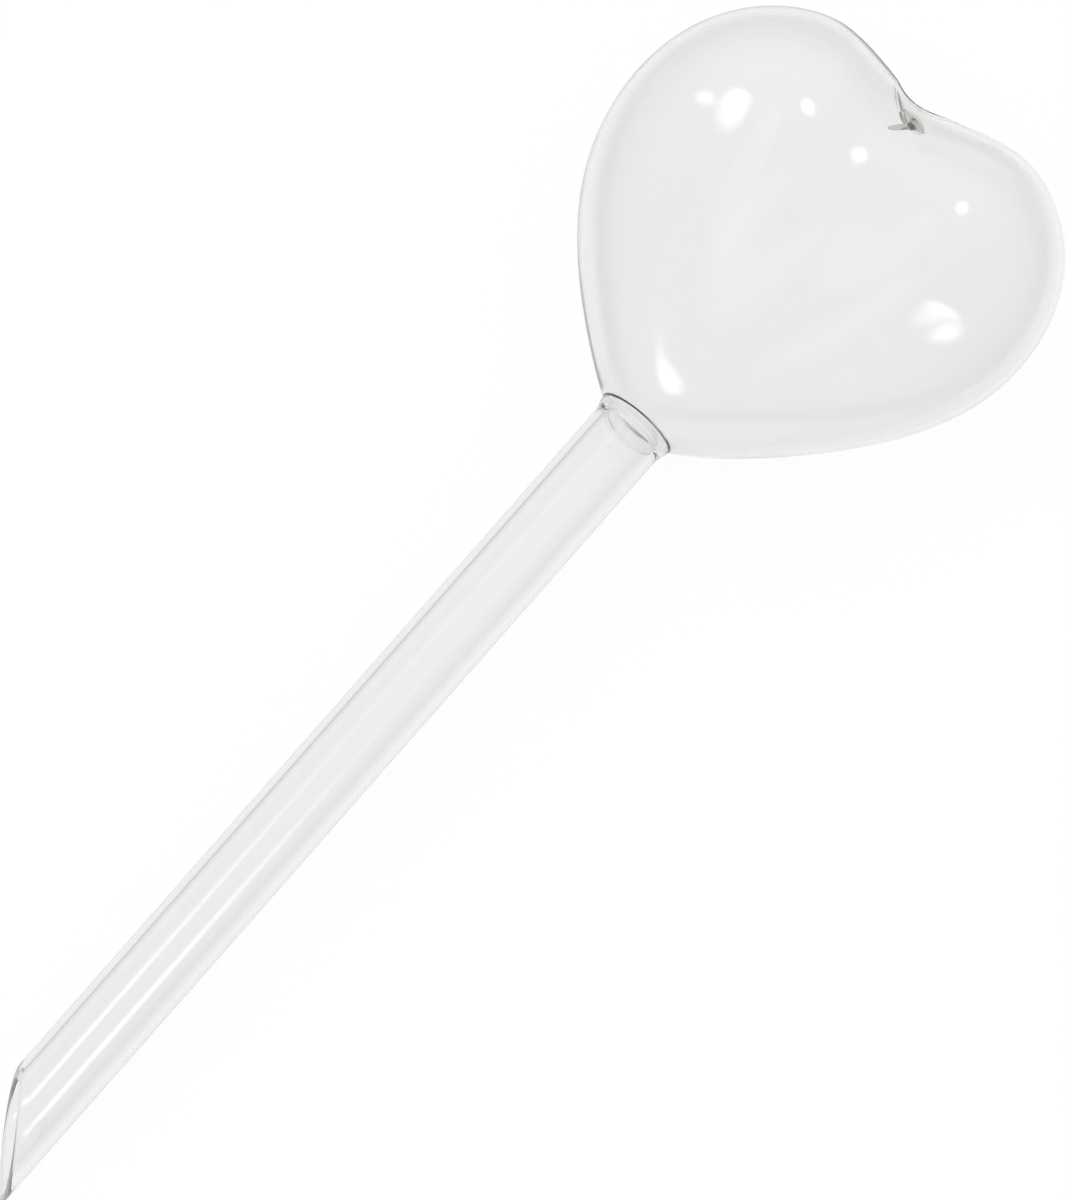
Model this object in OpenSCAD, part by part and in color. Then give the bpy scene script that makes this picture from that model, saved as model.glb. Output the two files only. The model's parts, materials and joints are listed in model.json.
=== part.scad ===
// Glass plant waterer: a blown heart bulb on a straight stem tube.
// It lies on its broad face, as it would be put down on a table.
// Lengths in millimetres, angles in degrees.
// +X runs along the stem towards the bulb, +Z is up from the table.
// The middle of the footprint is the origin and the table is at zero height.

/* [Stem] */
// Outside diameter of the stem tube
stem_d = 12; // [9:0.5:16]
// Wall of the stem tube
stem_wall = 1.2; // [0.8:0.1:2]
// Length of the stem from the weld to the far point of the slanted end
stem_long = 154.8; // [110:0.2:200]
// Angle between the slanted end and the stem axis
tip_angle = 34.4; // [28:0.2:60]
// Turn of the long side of the slanted end below the heart plane
tip_turn = 18; // [0:1:45]

/* [Neck weld] */
// Length of the weld ring between stem and bulb
weld_length = 2.4; // [1.6:0.1:5]
// Height of the rounded weld ring above the stem
weld_bulge = 0.5; // [0.3:0.05:1]

/* [Heart bulb] */
// Width of the heart across both lobes
heart_width = 76; // [60:0.1:100]
// Length of the heart from the weld to the tops of the lobes
heart_length = 70.2; // [56:0.1:95]
// Thickness of the heart from face to face
heart_thickness = 34.2; // [30:0.1:50]
// Wall of the blown bulb
bulb_wall = 1; // [0.8:0.1:1.5]
// Depth of the saddle between the lobes below their tops
saddle_depth = 2.9; // [1.6:0.1:5]
// Sideways lean of the blown bulb off the stem axis
lean = 1.45; // [0:0.05:3]

/* [Notch seal] */
// Half width of the sealed glass in the notch
seal_radius = 2; // [1.6:0.1:2.6]
// Depth of the dimple around the seal
dimple_depth = 2.6; // [1:0.1:3.5]
// Radius of the dimple around the seal
dimple_radius = 6.5; // [5:0.1:9]
// Length of the glass thorn that was drawn out of the seal into the bulb
drop_length = 2.3; // [1:0.1:4]
// Sideways lean of the thorn, towards the left lobe
drop_lean = 2.4; // [0:0.1:3]

/* [Hidden] */
$fn = 96;

// Run of a cutting body past the face that it cuts
over = stem_d;

stem_r = stem_d / 2;
bore_r = stem_r - stem_wall;
tip_rise = stem_d / tan(tip_angle);
tip_middle = stem_long - tip_rise / 2;
cut_run = tip_rise + over;

// Radii where the bulb meets the weld ring
crease_share = 0.7;
mouth_share = 1.4;
crease_r = stem_r + weld_bulge * crease_share;
mouth_r = stem_r + weld_bulge * mouth_share;
mouth_bore = mouth_r - stem_wall;
weld_steps = 10;

// Shares of the heart outline
widest_share = 0.627;
belly_share = 0.688;
top_share = 0.453;
start_angle = 36.2;
start_share = 0.318;
face_angle = 20.3;
face_share = 0.177;
flank_share = 0.245;
face_flank_share = 0.233;
shoulder_share = 0.702;
crown_share = 0.327;
valley_share = 0.4;
pole_share = 0.24;
face_rise_share = 0.637;
face_crown_share = 0.588;
seal_stretch_share = 2.2;

// The hollow that runs down the upper face from the notch and drifts to the right
hollow_share = 0.353;
hollow_width_share = 0.334;
hollow_drift_share = 0.361;
hollow_fade = 1.3;

// The slighter hollow of the lower face, which drifts to the left and is a little flatter
under_share = 0.274;
under_width_share = 0.267;
under_drift_share = 0.212;
under_fade = 1.16;
under_swell_share = 0.902;

// The full swell that both hollows are cut from
swell_share = 1.134;

half_width = heart_width / 2;
half_thickness = heart_thickness / 2 * swell_share;
hollow_width = half_width * hollow_width_share;
hollow_drift = half_width * hollow_drift_share;
under_width = half_width * under_width_share;
under_drift = half_width * under_drift_share;
saddle_height = heart_length - saddle_depth;
widest_height = heart_length * widest_share;
belly_height = heart_length * belly_share;
top_x = half_width * top_share;
shoulder_rise = heart_length - widest_height;
crown_run = half_width - top_x;

// Rings of points around the stem axis, and points in a ring
lower_rings = 11;
upper_rings = 12;
valley_rings = 7;
seal_rings = 4;
points = 48;
rings = lower_rings + upper_rings + valley_rings;
full_turn = 360;
half_turn = 180;
quarter_turn = 90;
fine_share = 0.0001;

// A point on a cubic curve
function curve(a, b, c, d, t) =
  a * pow(1 - t, 3) + b * (3 * t * pow(1 - t, 2)) + c * (3 * t * t * (1 - t)) + d * pow(t, 3);

// Side outline: distance from the axis and height above the weld
side_start = [mouth_r, 0];
side_out = side_start + heart_length * start_share * [cos(start_angle), sin(start_angle)];
side_low = [half_width, widest_height - heart_length * flank_share];
side_wide = [half_width, widest_height];
side_high = [half_width, widest_height + shoulder_rise * shoulder_share];
side_crown = [top_x + crown_run * crown_share, heart_length];
side_top = [top_x, heart_length];
side_fall = [top_x * (1 - valley_share), heart_length];
side_valley = [top_x * pole_share, saddle_height];
pole = [0, saddle_height];
function side_flank(t) = curve(side_start, side_out, side_low, side_wide, t);
function side_shoulder(t) = curve(side_wide, side_high, side_crown, side_top, t);
function side_notch(t) = curve(side_top, side_fall, side_valley, pole, t);

// Face outline: half thickness and height above the weld
face_start = [mouth_r, 0];
face_out = face_start + heart_length * face_share * [cos(face_angle), sin(face_angle)];
face_low = [half_thickness, belly_height - heart_length * face_flank_share];
face_wide = [half_thickness, belly_height];
face_high = [half_thickness, belly_height + (saddle_height - belly_height) * face_rise_share];
face_crown = [half_thickness * face_crown_share, saddle_height];
function face_flank(t) = curve(face_start, face_out, face_low, face_wide, t);
function face_dome(t) = curve(face_wide, face_high, face_crown, pole, t);

// Where each outline comes down to the edge of the seal
function side_seek(low, high) =
  let (t = (low + high) / 2)
  high - low < fine_share ? t : side_notch(t)[0] > seal_radius ? side_seek(t, high) : side_seek(low, t);
function face_seek(low, high) =
  let (t = (low + high) / 2)
  high - low < fine_share
    ? t
    : face_dome(t)[0] > seal_radius * seal_stretch_share ? face_seek(t, high) : face_seek(low, t);
side_end = side_seek(0, 1);
face_end = face_seek(0, 1);

function side_point(i) =
  i <= lower_rings
    ? side_flank(i / lower_rings)
    : i <= lower_rings + upper_rings
      ? side_shoulder((i - lower_rings) / upper_rings)
      : i <= rings
        ? side_notch(side_end * (i - lower_rings - upper_rings) / valley_rings)
        : side_notch(side_end + (1 - side_end) * (i - rings) / seal_rings);
function face_point(i) =
  i <= lower_rings
    ? face_flank(i / lower_rings)
    : i <= rings
      ? face_dome(face_end * (i - lower_rings) / (upper_rings + valley_rings))
      : face_dome(face_end + (1 - face_end) * (i - rings) / seal_rings);

function leaning(h) = lean * pow(sin(quarter_turn * min(max(h / widest_height, 0), 1)), 2);
function hollow(climb, x, depth_share, fade, width, drift) =
  1 - depth_share * pow(climb, fade) * exp(-pow((x - drift * max(1 - climb, 0)) / width, 2));
function upper_swell(climb, x) = hollow(climb, x, hollow_share, hollow_fade, hollow_width, hollow_drift);
function under_swell(climb, x) =
  under_swell_share * hollow(climb, x, under_share, under_fade, under_width, -under_drift);
function dimple(r) = r < dimple_radius ? dimple_depth * pow(1 - pow(r / dimple_radius, 2), 2) : 0;

// A point of the outer surface, with the weld at the origin and the stem along -X
function skin(i, j) =
  let (
    a = full_turn * j / points,
    s = side_point(i),
    f = face_point(i),
    across = s[0] * cos(a),
    high = s[1] * pow(cos(a), 2) + f[1] * pow(sin(a), 2),
    climb = max(high / saddle_height, 0),
    deep = f[0] * sin(a) * (a < half_turn ? upper_swell(climb, across) : under_swell(climb, across))
  )
  [high - dimple(norm([across, deep])), -across - leaning(high), deep];

// The same point of the inner surface, one wall further in
function lining(i, j) =
  let (
    a = full_turn * j / points,
    n = cross(skin(i + 1, j) - skin(i - 1, j), skin(i, j + 1) - skin(i, j - 1))
  )
  i == 0 ? [0, -mouth_bore * cos(a), mouth_bore * sin(a)] : skin(i, j) - n / norm(n) * bulb_wall;

outer_skin = [for (i = [0 : rings], j = [0 : points - 1]) skin(i, j)];
inner_skin = [for (i = [0 : rings], j = [0 : points - 1]) lining(i, j)];

// Two triangles for each patch between two rings of points
function band(low, high) =
  [
    for (j = [0 : points - 1])
      let (k = (j + 1) % points)
      each [[low + j, high + k, high + j], [low + j, low + k, high + k]]
  ];
function fan(low, tip) = [for (j = [0 : points - 1]) [low + j, low + (j + 1) % points, tip]];
function flipped(faces) = [for (f = faces) [f[0], f[2], f[1]]];

// The rest pose: the rim of the slanted end and the belly of the heart touch the table
tip_reach = weld_length + tip_middle + tip_rise / 2 * sin(tip_turn);
tilt = max([for (p = outer_skin) atan2(-p[2] - stem_r, p[0] + tip_reach)]);
rim = [
  for (j = [0 : $fn - 1])
    let (a = full_turn * j / $fn)
    [
      -weld_length - tip_middle - tip_rise / 2 * cos(a + tip_turn),
      -stem_r * cos(a),
      stem_r * sin(a)
    ]
];
function tipped(p) =
  [p[0] * cos(tilt) - p[2] * sin(tilt), p[1], p[0] * sin(tilt) + p[2] * cos(tilt)];
body_points = [for (p = concat(outer_skin, rim)) tipped(p)];
xs = [for (p = body_points) p[0]];
ys = [for (p = body_points) p[1]];
zs = [for (p = body_points) p[2]];

module placed() {
  translate([-(min(xs) + max(xs)) / 2, -(min(ys) + max(ys)) / 2, -min(zs)])
    rotate([0, -tilt, 0])
      children();
}

module stem_tube() {
  color("lightcyan", 0.5)
    placed()
      difference() {
        translate([-weld_length, 0, 0])
          rotate([0, -quarter_turn, 0])
            difference() {
              cylinder(h = stem_long + over, r = stem_r);
              translate([0, 0, -over])
                cylinder(h = stem_long + 3 * over, r = bore_r);
            }
        translate([-weld_length - tip_middle, 0, 0])
          rotate([tip_turn, 0, 0])
            rotate([0, 0, tip_angle])
              translate([-cut_run, 0, -cut_run])
                cube([2 * cut_run, 2 * cut_run, 2 * cut_run]);
      }
}

// The ring rises from the stem, bulges and drops into the crease under the bulb
weld_outside = [
  for (k = [0 : weld_steps])
    let (t = k / weld_steps)
    [stem_r + (crease_r - stem_r) * t + weld_bulge / 2 * sin(half_turn * t), weld_length * t]
];
weld_inside = [[mouth_bore, weld_length], [bore_r, 0]];

module neck_weld() {
  color("paleturquoise", 0.6)
    placed()
      translate([-weld_length, 0, 0])
        rotate([0, quarter_turn, 0])
          rotate_extrude()
            polygon(concat(weld_outside, weld_inside));
}

module heart_bulb() {
  inside = len(outer_skin);
  top = rings * points;
  color("azure", 0.4)
    placed()
      polyhedron(
        points = concat(outer_skin, inner_skin),
        faces = concat(
          [for (i = [0 : rings - 1]) each band(i * points, (i + 1) * points)],
          [for (i = [0 : rings - 1]) each flipped(band(inside + i * points, inside + (i + 1) * points))],
          flipped(band(0, inside)),
          band(top, inside + top)
        )
      );
}

// The thorn narrows from the inner edge of the seal to its own leaning tip
drop_rings = 6;
drop_full_share = 0.7;
drop_edge = [for (j = [0 : points - 1]) lining(rings, j)];
seal_pole = skin(rings + seal_rings, 0);
drop_tip = seal_pole + [-bulb_wall - drop_length, drop_lean, 0];
drop_skin = [
  for (k = [1 : drop_rings - 1], j = [0 : points - 1])
    let (
      a = quarter_turn * k / drop_rings,
      sunk = 1 - cos(a),
      wide = pow(1 - sin(a), drop_full_share),
      p = drop_edge[j]
    )
    [
      p[0] + (drop_tip[0] - p[0]) * sunk,
      seal_pole[1] + drop_lean * sunk + (p[1] - seal_pole[1]) * wide,
      p[2] * wide
    ]
];
cap_skin = [for (i = [rings : rings + seal_rings - 1], j = [0 : points - 1]) skin(i, j)];

module notch_seal() {
  inside = len(cap_skin);
  poles = inside + len(drop_edge) + len(drop_skin);
  color("lightblue", 0.7)
    placed()
      polyhedron(
        points = concat(cap_skin, drop_edge, drop_skin, [seal_pole, drop_tip]),
        faces = concat(
          [for (i = [0 : seal_rings - 2]) each band(i * points, (i + 1) * points)],
          fan((seal_rings - 1) * points, poles),
          flipped(band(0, inside)),
          [for (k = [0 : drop_rings - 2]) each flipped(band(inside + k * points, inside + (k + 1) * points))],
          flipped(fan(inside + (drop_rings - 1) * points, poles + 1))
        )
      );
}

stem_tube();
neck_weld();
heart_bulb();
notch_seal();
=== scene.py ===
"""A glass plant waterer: a blown heart bulb on a straight stem tube, lying on a table."""

import json
import math

import bpy
import numpy as np
from mathutils import Matrix, Quaternion, Vector


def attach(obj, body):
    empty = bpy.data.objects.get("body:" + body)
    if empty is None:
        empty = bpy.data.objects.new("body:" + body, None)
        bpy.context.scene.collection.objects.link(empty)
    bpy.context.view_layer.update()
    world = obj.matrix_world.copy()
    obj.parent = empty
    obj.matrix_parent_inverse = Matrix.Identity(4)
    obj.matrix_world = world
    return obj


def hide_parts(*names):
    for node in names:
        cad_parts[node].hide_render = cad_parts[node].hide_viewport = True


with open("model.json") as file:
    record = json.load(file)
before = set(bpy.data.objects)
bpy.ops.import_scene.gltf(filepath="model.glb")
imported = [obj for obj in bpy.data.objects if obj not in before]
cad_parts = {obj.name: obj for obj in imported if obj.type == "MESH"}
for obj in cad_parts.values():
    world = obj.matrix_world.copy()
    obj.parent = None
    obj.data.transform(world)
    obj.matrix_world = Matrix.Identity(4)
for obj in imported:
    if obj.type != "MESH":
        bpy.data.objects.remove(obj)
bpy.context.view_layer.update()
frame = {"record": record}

# Stem tube
# A length of drawn borosilicate tubing, 12 mm outside with a 1.2 mm wall. Its far end is
# sawn at a slant, so that it goes into soil like a quill, and the rim is fire polished.
# Its near end is melted into the weld ring, with no face of its own left there.

MM = 0.001
STEM_RADIUS = 6.0 * MM
STEM_WALL = 1.2 * MM
BORE_RADIUS = STEM_RADIUS - STEM_WALL
STEM_LONG = 154.8 * MM
TIP_ANGLE = math.radians(34.4)
TIP_TURN = math.radians(18)
TIP_RISE = 2 * STEM_RADIUS / math.tan(TIP_ANGLE)
TIP_MIDDLE = STEM_LONG - TIP_RISE / 2
WELD_LENGTH = 2.4 * MM

# The stem's own mount says where its middle is and which way it points
stem_mount = next(m for m in frame["record"]["mounts"] if m["name"] == "stem")
towards_bulb = -np.array(stem_mount["axis"])
towards_bulb /= np.linalg.norm(towards_bulb)
towards_left = np.array([0.0, 1.0, 0.0])
towards_up = np.cross(towards_bulb, towards_left)
weld_place = np.array(stem_mount["pos_m"]) + towards_bulb * (WELD_LENGTH + TIP_MIDDLE / 2)


def in_row(points):
    """Points measured from the weld, along the stem axis, to the left and up, in the row frame."""
    points = np.asarray(points, float)
    along = points[..., :1] * towards_bulb
    across = points[..., 1:2] * towards_left
    return along + across + points[..., 2:] * towards_up + weld_place


def linear(hex_colour):
    """An sRGB hex colour as linear red, green, blue and full alpha."""
    parts = [int(hex_colour[i : i + 2], 16) / 255 for i in (1, 3, 5)]
    colour = [p / 12.92 if p <= 0.04045 else ((p + 0.055) / 1.055) ** 2.4 for p in parts]
    return colour + [1.0]


def add_node(tree, kind, settings=(), inputs=()):
    """One node of a tree, with its settings and its inputs, each a value or a socket to link."""
    node = tree.nodes.new(kind)
    for name, value in dict(settings).items():
        setattr(node, name, value)
    for name, value in dict(inputs).items():
        if isinstance(value, bpy.types.NodeSocket):
            tree.links.new(value, node.inputs[name])
        else:
            node.inputs[name].default_value = value
    return node


def new_material(name):
    """A material with an empty tree and its output node."""
    material = bpy.data.materials.new(name)
    material.use_nodes = True
    material.node_tree.nodes.clear()
    return material, material.node_tree, add_node(material.node_tree, "ShaderNodeOutputMaterial")


def clear_glass(name, tint, wave_mm, wave_height_mm, roughness=0.0, haze=0.0):
    """Clear borosilicate glass, with the waves of hot glass that has cooled.

    wave_mm is their length and wave_height_mm their height. haze is the share that has turned
    milky, as glass does where a flame has worked it long.
    """
    material, tree, output = new_material(name)
    place = add_node(tree, "ShaderNodeTexCoord")
    waves = add_node(
        tree,
        "ShaderNodeTexNoise",
        {"noise_dimensions": "3D"},
        {
            "Vector": place.outputs["Object"],
            "Scale": 1 / (wave_mm * MM),
            "Detail": WAVE_DETAIL,
            "Roughness": WAVE_ROUGHNESS,
        },
    )
    bump = add_node(
        tree,
        "ShaderNodeBump",
        {},
        {"Strength": 1.0, "Distance": wave_height_mm * MM, "Height": waves.outputs["Fac"]},
    )
    glass = add_node(
        tree,
        "ShaderNodeBsdfPrincipled",
        {},
        {
            "Base Color": linear(tint),
            "Roughness": roughness,
            "IOR": BOROSILICATE_IOR,
            "Transmission Weight": 1.0 - haze,
            "Normal": bump.outputs["Normal"],
        },
    )
    tree.links.new(glass.outputs["BSDF"], output.inputs["Surface"])
    return material


def ring_mesh(name, rings, glass, seams=(), poles=()):
    """A closed mesh through rings of points. With no poles the last ring joins the first.

    seams are the bands that are glass melted into glass, counted from the first ring.
    """
    rings = np.asarray(rings, float)
    ring_count, points = rings.shape[:2]
    vertices = [tuple(p) for p in in_row(rings.reshape(-1, 3))]
    faces, slots = [], []
    bands = ring_count if not poles else ring_count - 1
    for i in range(bands):
        low, high = i * points, (i + 1) % ring_count * points
        for j in range(points):
            k = (j + 1) % points
            faces.append((low + j, high + j, high + k, low + k))
            slots.append(1 if i in seams else 0)
    for end, pole in enumerate(poles):
        tip = len(vertices)
        vertices.append(tuple(in_row(pole)))
        edge = 0 if end == 0 else (ring_count - 1) * points
        for j in range(points):
            k = (j + 1) % points
            faces.append((edge + k, tip, edge + j) if end == 0 else (edge + j, tip, edge + k))
            slots.append(0)
    mesh = bpy.data.meshes.new(name)
    mesh.from_pydata(vertices, [], faces)
    mesh.materials.append(glass)
    mesh.materials.append(fused_seam)
    mesh.polygons.foreach_set("material_index", slots)
    mesh.polygons.foreach_set("use_smooth", [True] * len(faces))
    return mesh


def glass_piece(name, mesh):
    """One stretch of the glass, shown in place of the CAD node of the same name."""
    seam_slot = mesh.materials.find(fused_seam.name)
    seam_faces = [face for face in mesh.polygons if face.material_index == seam_slot]
    seam_edges = {key for face in seam_faces for key in face.edge_keys}
    for edge in mesh.edges:
        edge.use_edge_sharp = edge.key in seam_edges
    mesh.validate()
    mesh.update()
    piece = bpy.data.objects.new(name + "_glass", mesh)
    bpy.context.scene.collection.objects.link(piece)
    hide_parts(name)
    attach(piece, "root")
    return piece


BOROSILICATE_IOR = 1.474
WAVE_DETAIL = 1.0
WAVE_ROUGHNESS = 0.4

# Fused seam: where two stretches were melted together there is no surface for light to meet,
# so light goes straight through the hidden faces where the stretches touch.
fused_seam, seam_tree, seam_output = new_material("fused_seam")
seam = add_node(seam_tree, "ShaderNodeBsdfTransparent", {}, {"Color": (1, 1, 1, 1)})
seam_tree.links.new(seam.outputs["BSDF"], seam_output.inputs["Surface"])

# Drawn borosilicate tubing: dead smooth and colourless, with draw lines too faint to see, so
# it shows as its edges and as long straight highlights.
drawn_glass = clear_glass(
    "drawn_borosilicate_tubing", tint="#FCFCFC", wave_mm=60, wave_height_mm=0.004
)
# Fire-polished rim: the saw's grey has only half melted away, so the cut end stays a little
# milky against the clear tube.
rim_glass = clear_glass(
    "fire_polished_rim",
    tint="#F4F4F4",
    wave_mm=1.5,
    wave_height_mm=0.01,
    roughness=0.15,
    haze=0.4,
)

STEM_POINTS = 512
STEM_BANDS = 140
RIM_SHARE = 0.1
RIM_ROUNDING = 0.75
MERGE = 0.001 * MM

tube = bpy.data.node_groups.new("stem_tube_wall", "GeometryNodeTree")
tube.interface.new_socket("Geometry", in_out="OUTPUT", socket_type="NodeSocketGeometry")
stem_sizes = {
    "Outside Radius": STEM_RADIUS,
    "Bore Radius": BORE_RADIUS,
    "Weld Gap": WELD_LENGTH,
    "Slant Middle": TIP_MIDDLE,
    "Slant Run": 1 / math.tan(TIP_ANGLE),
    "Slant Turn": TIP_TURN,
    "Rim Rounding": RIM_ROUNDING,
    "Rest Tilt": -math.atan2(towards_bulb[2], towards_bulb[0]),
}
stem_sockets = {
    name: tube.interface.new_socket(name, in_out="INPUT", socket_type="NodeSocketFloat")
    for name in stem_sizes
}
stem_sockets["Weld Place"] = tube.interface.new_socket(
    "Weld Place", in_out="INPUT", socket_type="NodeSocketVector"
)
size = add_node(tube, "NodeGroupInput").outputs


def maths(operation, *values):
    """One step of the tube's rule."""
    inputs = dict(enumerate(values))
    return add_node(tube, "ShaderNodeMath", {"operation": operation}, inputs).outputs[0]


def ramp(value, low, high, end):
    """0 up to the low value, then rising evenly to its end at the high value."""
    limits = {"Value": value, "From Min": low, "From Max": high, "To Max": end}
    return add_node(tube, "ShaderNodeMapRange", {}, limits).outputs["Result"]


# A flat sheet is rolled up: one side of it runs from the weld along the outside, round the
# rim and back along the bore, and its last band closes the end in the plane of the weld
sheet = add_node(
    tube,
    "GeometryNodeMeshGrid",
    {},
    {"Size X": 1.0, "Size Y": 1.0, "Vertices X": STEM_BANDS + 2, "Vertices Y": STEM_POINTS + 1},
)
point = add_node(tube, "GeometryNodeInputPosition")
spot = add_node(tube, "ShaderNodeSeparateXYZ", {}, {0: point.outputs[0]})
spread = maths("MULTIPLY", maths("ADD", spot.outputs["X"], 0.5), (STEM_BANDS + 1) / STEM_BANDS)
closing = maths("GREATER_THAN", spread, 1 + 0.5 / STEM_BANDS)
run = maths("MULTIPLY", spread, maths("SUBTRACT", 1.0, closing))
angle = maths("MULTIPLY", maths("ADD", spot.outputs["Y"], 0.5), 2 * math.pi)

wall_end = 0.5 - RIM_SHARE / 2
rim_turn = ramp(run, wall_end, 1 - wall_end, math.pi)
half_wall = maths("MULTIPLY", maths("SUBTRACT", size["Outside Radius"], size["Bore Radius"]), 0.5)
wall_middle = maths("SUBTRACT", size["Outside Radius"], half_wall)
radius = maths("MULTIPLY_ADD", half_wall, maths("COSINE", rim_turn), wall_middle)
from_weld = ramp(maths("MINIMUM", run, maths("SUBTRACT", 1.0, run)), 0.0, wall_end, 1.0)
from_slant = maths("ADD", angle, size["Slant Turn"])
slope = maths("MULTIPLY", size["Slant Run"], maths("COSINE", from_slant))
cut = maths("MULTIPLY_ADD", radius, slope, size["Slant Middle"])
rounding = maths("MULTIPLY", maths("SUBTRACT", 1.0, maths("SINE", rim_turn)), size["Rim Rounding"])
setback = maths("MULTIPLY", maths("MULTIPLY", half_wall, rounding), size["Slant Run"])
beyond_gap = maths("MULTIPLY_ADD", from_weld, maths("SUBTRACT", cut, setback), size["Weld Gap"])
rolled = add_node(
    tube,
    "ShaderNodeCombineXYZ",
    {},
    {
        "X": maths("MULTIPLY", beyond_gap, -1.0),
        "Y": maths("MULTIPLY", maths("MULTIPLY", radius, maths("COSINE", angle)), -1.0),
        "Z": maths("MULTIPLY", radius, maths("SINE", angle)),
    },
)
kept = add_node(
    tube,
    "GeometryNodeCaptureAttribute",
    {"domain": "FACE"},
    {"Geometry": sheet.outputs["Mesh"]},
)
kept.capture_items.new("FLOAT", "Spread")
tube.links.new(spread, kept.inputs["Spread"])
wall = add_node(
    tube,
    "GeometryNodeSetPosition",
    {},
    {"Geometry": kept.outputs["Geometry"], "Position": rolled.outputs["Vector"]},
)
closed = add_node(
    tube,
    "GeometryNodeMergeByDistance",
    {},
    {"Geometry": wall.outputs[0], "Distance": MERGE},
)
outward = add_node(tube, "GeometryNodeFlipFaces", {}, {"Mesh": closed.outputs[0]})
smooth = add_node(tube, "GeometryNodeSetShadeSmooth", {}, {"Geometry": outward.outputs[0]})
tilt = add_node(tube, "ShaderNodeCombineXYZ", {}, {"Y": size["Rest Tilt"]})
laid = add_node(
    tube,
    "GeometryNodeTransform",
    {},
    {
        "Geometry": smooth.outputs[0],
        "Translation": size["Weld Place"],
        "Rotation": tilt.outputs["Vector"],
    },
)
real = add_node(tube, "GeometryNodeRealizeInstances", {}, {"Geometry": laid.outputs[0]})
clear = add_node(
    tube,
    "GeometryNodeSetMaterial",
    {},
    {"Geometry": real.outputs[0], "Material": drawn_glass},
)
on_rim = maths("COMPARE", kept.outputs["Spread"], 0.5, RIM_SHARE / 2)
rimmed = add_node(
    tube,
    "GeometryNodeSetMaterial",
    {},
    {"Geometry": clear.outputs[0], "Selection": on_rim, "Material": rim_glass},
)
on_seam = maths("GREATER_THAN", kept.outputs["Spread"], 1.0)
fused = add_node(
    tube,
    "GeometryNodeSetMaterial",
    {},
    {"Geometry": rimmed.outputs[0], "Selection": on_seam, "Material": fused_seam},
)
add_node(tube, "NodeGroupOutput", {}, {"Geometry": fused.outputs[0]})

# The rule is run once here, and what it gives is the piece's own mesh
rule = bpy.data.objects.new("stem_rule", bpy.data.meshes.new("stem_rule"))
bpy.context.scene.collection.objects.link(rule)
roll = rule.modifiers.new("stem_tube_wall", "NODES")
roll.node_group = tube
for name, value in stem_sizes.items():
    roll[stem_sockets[name].identifier] = value
roll[stem_sockets["Weld Place"].identifier] = tuple(weld_place)
depsgraph = bpy.context.evaluated_depsgraph_get()
stem = bpy.data.meshes.new_from_object(rule.evaluated_get(depsgraph))
rule.modifiers.remove(roll)
bpy.data.objects.remove(rule)
stem.name = "stem_tube_glass"
glass_piece("stem_tube", stem)

# Neck weld
# The short ring of glass where tube and bulb were melted together in a flame. It is a low
# rounded bead that has sunk into two shallow creases, and it narrows the bore a little.

WELD_RINGS = 96
WELD_POINTS = 320
WELD_BEAD = 0.2 * MM
BORE_BEAD = 0.1 * MM
# Each crease has a depth, a middle, and how much nearer to the bulb it lies on top. These
# places run from 0 at the stem to 1 at the bulb, and a crease's half width and the fade at
# the two ends are shares of the same length.
UPPER_CREASE = 0.05 * MM
UPPER_MIDDLE = 0.84
UPPER_RISE = 0.07
LOWER_CREASE = 0.12 * MM
LOWER_MIDDLE = 0.27
LOWER_RISE = 0.14
# The lower one also slants: on the right it lies this much nearer to the stem
LOWER_SLANT = 0.16
WELD_CREASE_WIDTH = 0.13
WELD_END_FADE = 0.06
# The share of a crease's depth that is left underneath
UNDERSIDE_SHARE = 0.15
MOUTH_RADIUS = 6.7 * MM
MOUTH_BORE = MOUTH_RADIUS - STEM_WALL

around = np.arange(WELD_POINTS) * 2 * math.pi / WELD_POINTS
lower_crease = LOWER_MIDDLE - LOWER_SLANT * np.cos(around) + LOWER_RISE * np.sin(around)
upper_crease = UPPER_MIDDLE + UPPER_RISE * np.sin(around)
crease_share = UNDERSIDE_SHARE + (1 - UNDERSIDE_SHARE) * (0.5 + 0.5 * np.sin(around)) ** 0.5


def dip(t, place, width):
    """A smooth hollow around one place, from 0 at its edges to 1 in the middle."""
    reach = np.clip(np.abs(t - place) / width, 0, 1)
    return (1 - reach**2) ** 2


def weld_ring(radius, t):
    """A ring of the weld around the stem axis."""
    return np.stack(
        [-WELD_LENGTH * (1 - t) + 0 * around, -radius * np.cos(around), radius * np.sin(around)],
        axis=-1,
    )


# Flame-worked glass: short ripples where it was turned in the flame, and a breath of haze
flame_glass = clear_glass(
    "flame_worked_borosilicate",
    tint="#FFFFFF",
    wave_mm=3,
    wave_height_mm=0.015,
    roughness=0.02,
    haze=0.09,
)
weld_shares = np.linspace(0, 1, WELD_RINGS)
weld_outside, weld_inside = [], []
for t in weld_shares:
    flare = (MOUTH_RADIUS - STEM_RADIUS) * t**2
    ends = min(1, t / WELD_END_FADE, (1 - t) / WELD_END_FADE)
    sunk = LOWER_CREASE * dip(t, lower_crease, WELD_CREASE_WIDTH)
    sunk = sunk + UPPER_CREASE * dip(t, upper_crease, WELD_CREASE_WIDTH)
    bead = math.sin(math.pi * t)
    outside = STEM_RADIUS + flare + WELD_BEAD * bead - crease_share * sunk * ends
    weld_outside.append(weld_ring(outside, t))
    weld_inside.append(weld_ring(BORE_RADIUS + flare - BORE_BEAD * bead**2, t))
weld = ring_mesh(
    "neck_weld_glass",
    weld_outside + weld_inside[::-1],
    flame_glass,
    seams=[WELD_RINGS - 1, 2 * WELD_RINGS - 1],
)
glass_piece("neck_weld", weld)

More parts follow.
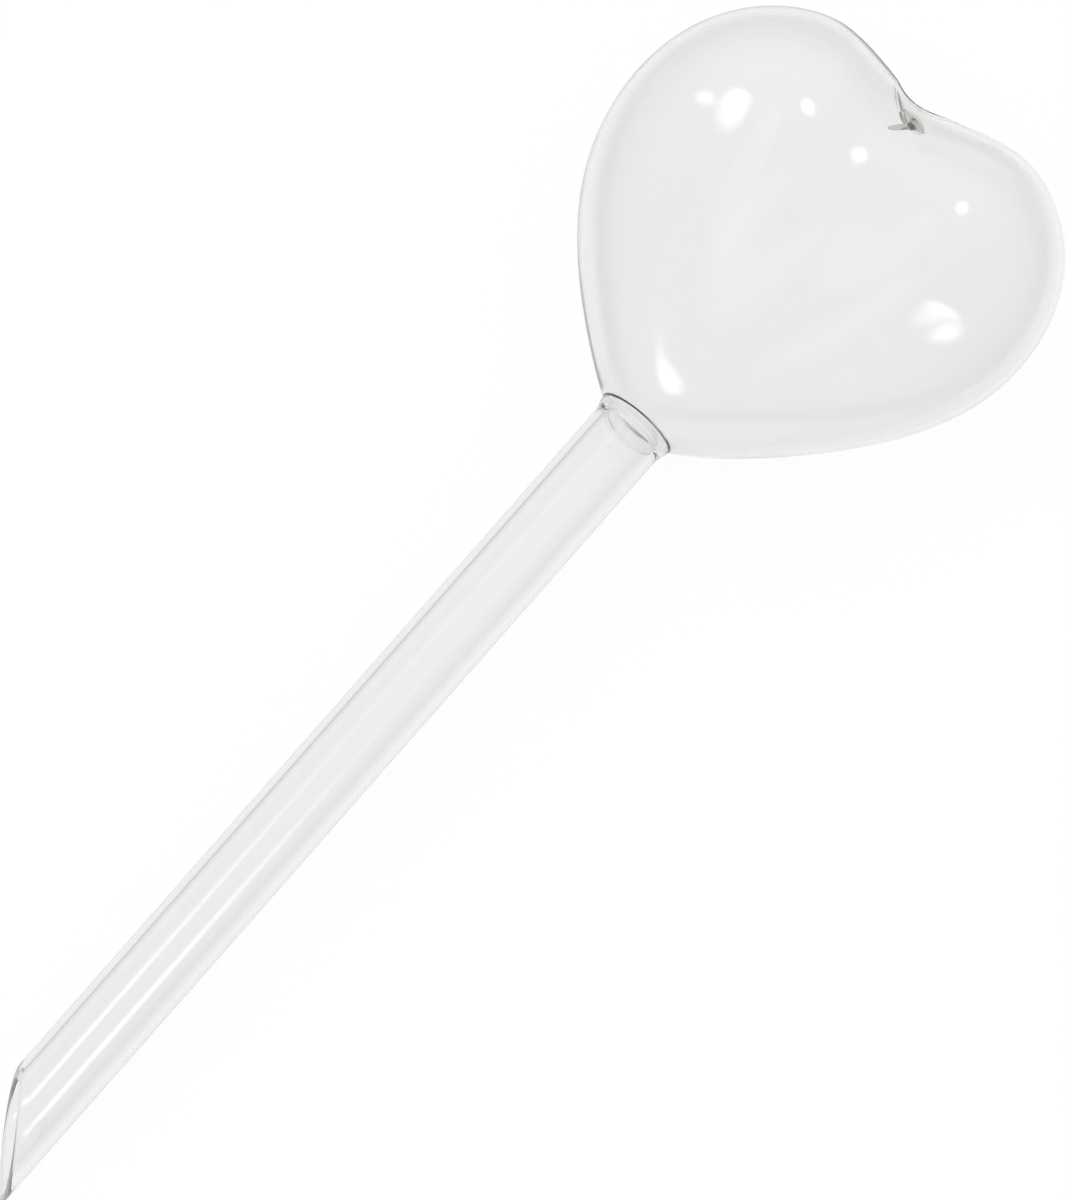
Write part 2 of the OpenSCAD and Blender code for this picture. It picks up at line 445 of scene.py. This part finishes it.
# Heart bulb
# A gather of the same glass, blown out and pinched into two lobes while soft. The wall is
# about 1 mm, thicker at the neck, with the slight unevenness of blown work.

HEART_WIDTH = 76.0 * MM
HEART_LENGTH = 70.18 * MM
HEART_THICKNESS = 34.1 * MM
BULB_WALL = 1.0 * MM
WALL_UNEVENNESS = 0.06
WALL_TURN = 0.7
NECK_EASE_RINGS = 34
SADDLE_DEPTH = 2.9 * MM
LEAN = 1.45 * MM
SEAL_RADIUS = 2.0 * MM
SEAL_STRETCH = 2.2
DIMPLE_DEPTH = 2.6 * MM
DIMPLE_RADIUS = 6.5 * MM
# Both faces have a hollow that runs down from the notch, cut from a fuller swell. The upper
# one drifts to the right on its way, and the lower one is slighter and drifts to the left.
FACE_SWELL = 1.131
HOLLOW_DEPTH = 0.353
HOLLOW_WIDTH = HEART_WIDTH / 2 * 0.334
HOLLOW_DRIFT = HEART_WIDTH / 2 * 0.361
HOLLOW_FADE = 1.3
UNDER_SWELL = 0.902
UNDER_DEPTH = 0.274
UNDER_WIDTH = HEART_WIDTH / 2 * 0.267
UNDER_DRIFT = -HEART_WIDTH / 2 * 0.212
UNDER_FADE = 1.16
# Where the outlines turn: heights as shares of the length, and the top of a lobe as a share
# of half the width
WIDEST_HEIGHT = 0.627
BELLY_HEIGHT = 0.688
TOP_PLACE = 0.453
# How each outline leaves the neck, in degrees, and how far its curves reach out, as shares of
# the length or of the stretch that they cross
SIDE_ANGLE = 36.2
SIDE_LEAVING = 0.318
SIDE_FLANK = 0.245
SIDE_SHOULDER = 0.702
SIDE_CROWN = 0.327
NOTCH_TOP = 0.6
NOTCH_FOOT = 0.24
FACE_ANGLE = 20.3
FACE_LEAVING = 0.177
FACE_FLANK = 0.233
FACE_SHOULDER = 0.637
FACE_CROWN = 0.588
BULB_POINTS = 280
SEARCH_POINTS = 20001
SIDE_CROWDING = 0.34
LOWER_RINGS, UPPER_RINGS, VALLEY_RINGS, SEAL_RINGS = 64, 64, 40, 12

half_width = HEART_WIDTH / 2
half_thickness = HEART_THICKNESS / 2 * FACE_SWELL
saddle_height = HEART_LENGTH - SADDLE_DEPTH
widest_height = HEART_LENGTH * WIDEST_HEIGHT
belly_height = HEART_LENGTH * BELLY_HEIGHT
top_x = half_width * TOP_PLACE
shoulder_rise = HEART_LENGTH - widest_height
crown_run = half_width - top_x


def curve(points, t):
    """A cubic curve through its first and last point, drawn towards the two between."""
    a, b, c, d = (np.array(p, float) for p in points)
    t = np.atleast_1d(t)[:, None]
    return a * (1 - t) ** 3 + b * 3 * t * (1 - t) ** 2 + c * 3 * t * t * (1 - t) + d * t**3


def leaving(start, length, angle):
    """A point at that length and angle from the start of a curve."""
    angle = math.radians(angle)
    return (start[0] + length * math.cos(angle), length * math.sin(angle))


# Side outline and face outline, as distance from the axis and height above the weld
neck = (MOUTH_RADIUS, 0)
pole = (0, saddle_height)
side_flank = (
    neck,
    leaving(neck, HEART_LENGTH * SIDE_LEAVING, SIDE_ANGLE),
    (half_width, widest_height - HEART_LENGTH * SIDE_FLANK),
    (half_width, widest_height),
)
side_shoulder = (
    (half_width, widest_height),
    (half_width, widest_height + shoulder_rise * SIDE_SHOULDER),
    (top_x + crown_run * SIDE_CROWN, HEART_LENGTH),
    (top_x, HEART_LENGTH),
)
side_notch = (
    (top_x, HEART_LENGTH),
    (top_x * NOTCH_TOP, HEART_LENGTH),
    (top_x * NOTCH_FOOT, saddle_height),
    pole,
)
face_flank = (
    neck,
    leaving(neck, HEART_LENGTH * FACE_LEAVING, FACE_ANGLE),
    (half_thickness, belly_height - HEART_LENGTH * FACE_FLANK),
    (half_thickness, belly_height),
)
face_dome = (
    (half_thickness, belly_height),
    (half_thickness, belly_height + (saddle_height - belly_height) * FACE_SHOULDER),
    (half_thickness * FACE_CROWN, saddle_height),
    pole,
)


def share_at(points, radius):
    """How far along a curve it comes down to that distance from the axis."""
    t = np.linspace(0, 1, SEARCH_POINTS)
    return t[np.argmax(curve(points, t)[:, 0] < radius)]


side_end = share_at(side_notch, SEAL_RADIUS)
face_end = share_at(face_dome, SEAL_RADIUS * SEAL_STRETCH)
dome_rings = UPPER_RINGS + VALLEY_RINGS
lower_steps = np.linspace(0, 1, LOWER_RINGS + 1)
upper_steps = np.linspace(0, 1, UPPER_RINGS + 1)[1:]
valley_steps = np.linspace(0, 1, VALLEY_RINGS + 1)[1:]
cap_steps = np.linspace(0, 1, SEAL_RINGS + 1)[1:]
dome_steps = np.linspace(0, 1, dome_rings + 1)[1:]
side_outline = np.vstack(
    [
        curve(side_flank, lower_steps),
        curve(side_shoulder, upper_steps),
        curve(side_notch, side_end * valley_steps),
        curve(side_notch, side_end + (1 - side_end) * cap_steps),
    ]
)
face_outline = np.vstack(
    [
        curve(face_flank, lower_steps),
        curve(face_dome, face_end * dome_steps),
        curve(face_dome, face_end + (1 - face_end) * cap_steps),
    ]
)
# The points crowd together at the sharper sides of the heart
turns = (np.arange(BULB_POINTS) * 2 * math.pi / BULB_POINTS)[None]
turns = turns - SIDE_CROWDING * np.sin(2 * turns)
across = side_outline[:, :1] * np.cos(turns)
height = side_outline[:, 1:] * np.cos(turns) ** 2 + face_outline[:, 1:] * np.sin(turns) ** 2
climb = np.maximum(height / saddle_height, 0)


def hollowed(depth, fade, width, drift):
    """The share of the full swell that a hollow leaves, all over the skin."""
    from_valley = across - drift * np.maximum(1 - climb, 0)
    return 1 - depth * climb**fade * np.exp(-((from_valley / width) ** 2))


upper = hollowed(HOLLOW_DEPTH, HOLLOW_FADE, HOLLOW_WIDTH, HOLLOW_DRIFT)
under = UNDER_SWELL * hollowed(UNDER_DEPTH, UNDER_FADE, UNDER_WIDTH, UNDER_DRIFT)
swell = np.where(np.sin(turns) >= 0, upper, under)
deep = face_outline[:, :1] * np.sin(turns) * swell
# The whole bulb leans a little to the right, and its crown dips where it was drawn off
leaning = LEAN * np.sin(math.pi / 2 * np.clip(height / widest_height, 0, 1)) ** 2
from_pole = np.clip(np.hypot(across, deep) / DIMPLE_RADIUS, 0, 1)
dimple = DIMPLE_DEPTH * (1 - from_pole**2) ** 2
outer_skin = np.stack([height - dimple, -across - leaning, deep], axis=-1)


def inner_skin(skin, wall):
    """The skin one wall further in, along its own normals."""
    along = np.empty_like(skin)
    along[1:-1] = skin[2:] - skin[:-2]
    along[0] = skin[1] - skin[0]
    along[-1] = skin[-1] - skin[-2]
    normal = np.cross(along, np.roll(skin, -1, axis=1) - np.roll(skin, 1, axis=1))
    length = np.linalg.norm(normal, axis=-1, keepdims=True)
    return skin - normal / np.maximum(length, 1e-15) * wall


uneven = WALL_UNEVENNESS * np.sin(2 * turns + WALL_TURN) * np.ones_like(height)
blown_wall = BULB_WALL * (1 + uneven)[..., None]
lining = inner_skin(outer_skin, blown_wall)
# The lining starts in the plane of the weld, at the weld's own bore, and eases into the wall
start_ring = np.stack(
    [0 * turns[0], -MOUTH_BORE * np.cos(turns[0]), MOUTH_BORE * np.sin(turns[0])],
    axis=-1,
)
gap = start_ring - lining[0]
for i in range(NECK_EASE_RINGS):
    lining[i] += gap * (0.5 + 0.5 * math.cos(math.pi * i / NECK_EASE_RINGS))

# The bulb ends at the ring round the hole that the seal fills
hole = LOWER_RINGS + UPPER_RINGS + VALLEY_RINGS
# Blown borosilicate: clear, with the long soft waves of glass that was blown and swung by hand
blown_glass = clear_glass(
    "blown_borosilicate", tint="#FCFCFC", wave_mm=14, wave_height_mm=0.03
)
bulb_rings = np.concatenate([outer_skin[: hole + 1], lining[: hole + 1][::-1]])
bulb = ring_mesh("heart_bulb_glass", bulb_rings, blown_glass, seams=[hole, 2 * hole + 1])
glass_piece("heart_bulb", bulb)

# Notch seal
# The gathered glass that closed the bulb when it was drawn off in the notch. It is melted
# into the wall all round, and a short thin thorn of it leans into the bulb.

DROP_LENGTH = 2.3 * MM
DROP_LEAN = 2.4 * MM
ROOT_RIGHT = 1.0 * MM
ROOT_UP = 1.2 * MM
TAIL_RADIUS = 0.45 * MM
# The share of the thorn's length that its widening foot takes
FOOT_SHARE = 0.25
FOOT_RINGS = 16
TAIL_RINGS = 24
# Gathered glass, pinched and reheated. Its grey tint is painted shade: it stands in for the dark
# mark that the thick drop of glass shows by how it bends light.
painted_dark_seal_glass = clear_glass(
    "gathered_borosilicate_painted_shade", tint="#D8D8CE", wave_mm=2.5, wave_height_mm=0.03, haze=0.08
)
edge_ring = lining[hole]
cap_rings = outer_skin[hole : hole + SEAL_RINGS]
cap_pole = outer_skin[hole + SEAL_RINGS].mean(axis=0)
# The thorn is rooted at the upper right of the seal and leans to the left lobe
drop_root = cap_pole + np.array([-BULB_WALL, -ROOT_RIGHT, ROOT_UP])
drop_tip = cap_pole + np.array([-BULB_WALL - DROP_LENGTH, DROP_LEAN, 0.0])
tail_way = drop_tip - drop_root
# Its own ring: a circle square to its way, with its points beside those of the edge
tail_axis = tail_way / np.linalg.norm(tail_way)
tail_side = np.cross(tail_axis, [0, 0, 1])
tail_side = tail_side / np.linalg.norm(tail_side)
tail_up = np.cross(tail_side, tail_axis)
to_side = np.cos(turns[0])[:, None]
to_top = np.sin(turns[0])[:, None]
tail_ring = TAIL_RADIUS * (to_side * -tail_side + to_top * tail_up)
drop_rings = []
for k in range(FOOT_RINGS):
    turn = math.pi / 2 * k / FOOT_RINGS
    sunk = 1 - math.cos(turn)
    wide = 1 - math.sin(turn)
    foot_ring = drop_root + tail_way * FOOT_SHARE * sunk + tail_ring
    drop_rings.append(edge_ring * wide + foot_ring * (1 - wide))
for k in range(TAIL_RINGS):
    reach = k / TAIL_RINGS
    taper = math.sqrt(1 - reach**4)
    along_tail = FOOT_SHARE + (1 - FOOT_SHARE) * reach
    drop_rings.append(drop_root + tail_way * along_tail + tail_ring * taper)
seal_rings = np.concatenate([drop_rings[::-1], cap_rings])
seal_bands = len(drop_rings) - 1
seal = ring_mesh(
    "notch_seal_glass",
    seal_rings,
    painted_dark_seal_glass,
    seams=[seal_bands],
    poles=[drop_tip, cap_pole],
)
glass_piece("notch_seal", seal)

# Camera
# A long lens on a stand, looking down at the table. The weld is the point that the photo
# shows most exactly, so the camera is placed by where it falls in the frame.

FRAME_PX = (1066, 1200)
WELD_PX = (636.5, 423.2)
PX_PER_MM = 6.583
CAMERA_ELEVATION = math.radians(65.94)
STEM_BEARING = math.radians(50.36)
CAMERA_DISTANCE = 4.0
SENSOR_MM = 36.0
VIEW_REACH = 40.0

photo_right = Vector((math.cos(STEM_BEARING), -math.sin(STEM_BEARING), 0))
photo_away = Vector((math.sin(STEM_BEARING), math.cos(STEM_BEARING), 0))
photo_back = Vector((0, 0, math.sin(CAMERA_ELEVATION))) - photo_away * math.cos(CAMERA_ELEVATION)
photo_up = photo_back.cross(photo_right)
offset_right = (FRAME_PX[0] / 2 - WELD_PX[0]) / PX_PER_MM * MM
offset_up = (WELD_PX[1] - FRAME_PX[1] / 2) / PX_PER_MM * MM
aim = Vector(weld_place) + photo_right * offset_right + photo_up * offset_up

lens = bpy.data.cameras.new("photo_camera")
lens.sensor_width = SENSOR_MM
lens.sensor_fit = "AUTO"
lens.lens = SENSOR_MM * CAMERA_DISTANCE / (FRAME_PX[1] / PX_PER_MM * MM)
lens.clip_end = VIEW_REACH
camera = bpy.data.objects.new("photo_camera", lens)
bpy.context.scene.collection.objects.link(camera)
turned = Matrix((photo_right, photo_up, photo_back)).transposed().to_4x4()
camera.matrix_world = Matrix.Translation(aim + photo_back * CAMERA_DISTANCE) @ turned
bpy.context.scene.camera = camera

# Table and studio
# A white table that the waterer lies on. It shows white to the eye and a little greyer in the
# glass, and it keeps the faint shadow of the glass. Seen through the glass at a low slant it is
# darker still, which is painted shade for the tube's shadow on the table.

TABLE_HALF = 3.0
GLOW_TO_EYE = 0.93
GLOW_IN_GLASS = 0.85
TABLE_TO_EYE = 1.02
TABLE_IN_GLASS = 0.95
# Painted shade: the level that the table falls to through the glass at a low slant
TABLE_PAINTED_SHADE_AT_SLANT = 0.3
# The slant where the painted shade starts and where it is at its darkest
PAINTED_SHADE_SLANT_START = 0.45
PAINTED_SHADE_SLANT_END = 0.85
floor_mesh = bpy.data.meshes.new("table")
corners = [(x * TABLE_HALF, y * TABLE_HALF, 0) for x, y in ((-1, -1), (1, -1), (1, 1), (-1, 1))]
floor_mesh.from_pydata(corners, [], [(0, 1, 2, 3)])
floor = bpy.data.objects.new("table", floor_mesh)
bpy.context.scene.collection.objects.link(floor)

table_white, tree, output = new_material("matt_white_table")
rays = add_node(tree, "ShaderNodeLightPath")
in_glass = add_node(
    tree,
    "ShaderNodeMath",
    {"operation": "MAXIMUM"},
    {0: rays.outputs["Is Glossy Ray"], 1: rays.outputs["Is Transmission Ray"]},
)
share_in_glass = add_node(
    tree,
    "ShaderNodeMath",
    {"operation": "MULTIPLY"},
    {0: in_glass.outputs[0], 1: GLOW_IN_GLASS},
)
share = add_node(
    tree,
    "ShaderNodeMath",
    {"operation": "MULTIPLY_ADD"},
    {0: rays.outputs["Is Camera Ray"], 1: GLOW_TO_EYE, 2: share_in_glass.outputs[0]},
)
matt = add_node(tree, "ShaderNodeBsdfDiffuse", {}, {"Color": linear("#F4F4F4"), "Roughness": 0.0})
# Through the glass the table is a little greyer than it is to the eye. Where it is met at a low
# slant it falls off further, which is painted shade standing in for the tube's shadow on the
# table.
painted_shade_slant = add_node(tree, "ShaderNodeLayerWeight", {}, {"Blend": 0.5})
greyer = add_node(
    tree,
    "ShaderNodeMapRange",
    {"interpolation_type": "SMOOTHSTEP"},
    {
        "Value": painted_shade_slant.outputs["Facing"],
        "From Min": PAINTED_SHADE_SLANT_START,
        "From Max": PAINTED_SHADE_SLANT_END,
        "To Min": TABLE_IN_GLASS,
        "To Max": TABLE_PAINTED_SHADE_AT_SLANT,
    },
)
table_level = add_node(
    tree,
    "ShaderNodeMix",
    {"data_type": "FLOAT"},
    {"Factor": rays.outputs["Is Camera Ray"], "A": greyer.outputs["Result"], "B": TABLE_TO_EYE},
)
glow = add_node(
    tree,
    "ShaderNodeEmission",
    {},
    {"Color": (1, 1, 1, 1), "Strength": table_level.outputs["Result"]},
)
mixed = add_node(
    tree,
    "ShaderNodeMixShader",
    {},
    {0: share.outputs[0], 1: matt.outputs[0], 2: glow.outputs[0]},
)
tree.links.new(mixed.outputs[0], output.inputs["Surface"])
floor_mesh.materials.append(table_white)


def studio_ray(bearing, height):
    """The way to a studio point: bearing 0 is away from the camera, and 90 is to its right."""
    bearing, height = math.radians(bearing), math.radians(height)
    flat = photo_away * math.cos(bearing) + photo_right * math.sin(bearing)
    return flat * math.cos(height) + Vector((0, 0, math.sin(height)))


# A pale studio that is dimmer towards its horizon and on the right, with one large faint
# panel overhead
STUDIO_LIGHT = 0.98
HORIZON_LIGHT = 0.6
DARK_SIDE = -0.3
PANEL_LIGHT = 0.35
world = bpy.data.worlds.new("studio")
world.use_nodes = True
tree = world.node_tree
tree.nodes.clear()
output = add_node(tree, "ShaderNodeOutputWorld")
place = add_node(tree, "ShaderNodeTexCoord")
rays = add_node(tree, "ShaderNodeLightPath")


def studio_patch(middle, outer, inner, strength):
    """A round patch of light, full up to its inner angle from the middle, gone at its outer."""
    towards = add_node(
        tree,
        "ShaderNodeVectorMath",
        {"operation": "DOT_PRODUCT"},
        {0: place.outputs["Generated"], 1: tuple(middle)},
    )
    fade = add_node(
        tree,
        "ShaderNodeMapRange",
        {"interpolation_type": "SMOOTHSTEP"},
        {
            "Value": towards.outputs["Value"],
            "From Min": math.cos(math.radians(outer)),
            "From Max": math.cos(math.radians(inner)),
            "To Max": strength,
        },
    )
    return fade.outputs["Result"]


above_horizon = STUDIO_LIGHT - HORIZON_LIGHT
to_dark_side = studio_ray(bearing=95, height=12)
to_panel = studio_ray(bearing=-12, height=70)
overhead = studio_patch((0, 0, 1), outer=95, inner=50, strength=above_horizon)
dark_side = studio_patch(to_dark_side, outer=62, inner=22, strength=DARK_SIDE)
panel = studio_patch(to_panel, outer=12, inner=5, strength=PANEL_LIGHT)
studio = dark_side
for patch in (panel, overhead, HORIZON_LIGHT):
    together = add_node(tree, "ShaderNodeMath", {"operation": "ADD"}, {0: studio, 1: patch})
    studio = together.outputs[0]
level = add_node(
    tree,
    "ShaderNodeMix",
    {"data_type": "FLOAT"},
    {"Factor": rays.outputs["Is Camera Ray"], "A": studio, "B": 1.0},
)
sky = add_node(
    tree,
    "ShaderNodeBackground",
    {},
    {"Color": (1, 1, 1, 1), "Strength": level.outputs["Result"]},
)
tree.links.new(sky.outputs[0], output.inputs["Surface"])
bpy.context.scene.world = world


# A lamp's own coordinates run from 0 to 1 each way, so this is where its middle lies and how
# far its edge is from there
LAMP_HALF = 0.5
# The side lamp faces the stem at this share of its length
SIDE_LAMP_AIM = 0.75


def softbox(name, target, bearing, height, width, tall, turn, glow, away):
    """A softbox that faces a target, brightest in its middle and fading to its edge.

    bearing, height and turn are degrees, and width, tall and away are metres. glow is the
    brightness of its middle, where 1 is the white of the picture.
    """
    ray = studio_ray(bearing, height)
    lamp = bpy.data.lights.new(name, "AREA")
    lamp.shape = "ELLIPSE"
    lamp.size = width
    lamp.size_y = tall
    # A face sends out pi times its glow for each square metre, and this face is an ellipse
    lamp.energy = glow * math.pi * math.pi / 4 * width * tall
    lamp.use_nodes = True
    tree = lamp.node_tree
    tree.nodes.clear()
    output = add_node(tree, "ShaderNodeOutputLight")
    face = add_node(tree, "ShaderNodeNewGeometry")
    from_middle = add_node(
        tree,
        "ShaderNodeVectorMath",
        {"operation": "DISTANCE"},
        {0: face.outputs["Parametric"], 1: (LAMP_HALF, LAMP_HALF, 0.0)},
    )
    fade = add_node(
        tree,
        "ShaderNodeMapRange",
        {"interpolation_type": "SMOOTHSTEP"},
        {
            "Value": from_middle.outputs["Value"],
            "From Min": 0.0,
            "From Max": LAMP_HALF,
            "To Min": 1.0,
            "To Max": 0.0,
        },
    )
    shine = add_node(
        tree,
        "ShaderNodeEmission",
        {},
        {"Color": (1, 1, 1, 1), "Strength": fade.outputs["Result"]},
    )
    tree.links.new(shine.outputs[0], output.inputs["Surface"])
    box = bpy.data.objects.new(name, lamp)
    bpy.context.scene.collection.objects.link(box)
    box.location = target + ray * away
    twist = Quaternion((0, 0, 1), math.radians(turn))
    box.rotation_euler = (ray.to_track_quat("Z", "Y") @ twist).to_euler()


heart_middle = Vector(in_row([widest_height, 0, 0]))
far_stem = Vector(in_row([-STEM_LONG * SIDE_LAMP_AIM, 0, 0]))
softbox(
    "left_softbox",
    heart_middle,
    bearing=-31.0,
    height=46.0,
    width=0.1,
    tall=0.26,
    turn=16,
    glow=4.8,
    away=0.7,
)
softbox(
    "right_softbox",
    heart_middle,
    bearing=36.8,
    height=52.5,
    width=0.38,
    tall=0.38,
    turn=-28,
    glow=5.8,
    away=1.6,
)
softbox(
    "side_softbox",
    far_stem,
    bearing=115.2,
    height=40.6,
    width=0.17,
    tall=0.3,
    turn=0,
    glow=3.8,
    away=0.8,
)

bpy.context.scene.view_settings.view_transform = "Standard"
